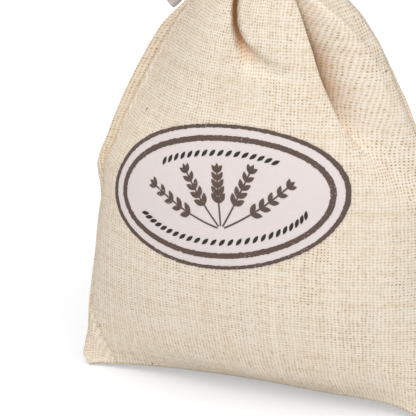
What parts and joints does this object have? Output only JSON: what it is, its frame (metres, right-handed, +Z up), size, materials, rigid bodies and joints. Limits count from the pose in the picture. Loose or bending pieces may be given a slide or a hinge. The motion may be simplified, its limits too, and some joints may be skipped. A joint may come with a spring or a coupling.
{
  "type": "lavender sachet",
  "caption": "Muslin drawstring pouch filled with dried lavender, gathered at the neck by a ribbon tied in a side bow, with a bare oval label printed on its front.",
  "frame": {"origin": "centre of the bottom of the pouch's box, on the surface that it stands on", "axes": "+Z up, the label faces -Y, and +X is to the right of someone who faces the label"},
  "size_m": [0.0762, 0.0395, 0.1083],
  "materials": {
    "muslin": "unbleached plain-woven cotton muslin",
    "turned_muslin": "the same muslin, turned in and sewn",
    "dried_lavender": "loose dried lavender buds",
    "pale_print": "smooth pale transfer print",
    "taupe_ink": "matt printed ink with worn edges",
    "satin_ribbon": "narrow taupe satin ribbon"
  },
  "bodies": {
    "pouch": {"front_panel": "muslin", "back_panel": "muslin", "left_side_seam": "turned_muslin", "right_side_seam": "turned_muslin", "front_casing": "turned_muslin", "back_casing": "turned_muslin", "lavender_filling": "dried_lavender", "label_ground": "pale_print", "label_outer_ring": "taupe_ink", "label_inner_ring": "taupe_ink", "drawstring": "satin_ribbon"},
    "bow": {"bow_knot": "satin_ribbon", "front_bow_loop": "satin_ribbon", "back_bow_loop": "satin_ribbon", "outer_bow_tail": "satin_ribbon", "back_bow_tail": "satin_ribbon"}
  },
  "joints": [
    {"name": "bow_swing", "type": "hinge", "parent": "pouch", "child": "bow", "pos_m": [-0.011, -0.0012, 0.085], "axis": [0, 0, 1], "range_deg": [-12, 40]}
  ]
}
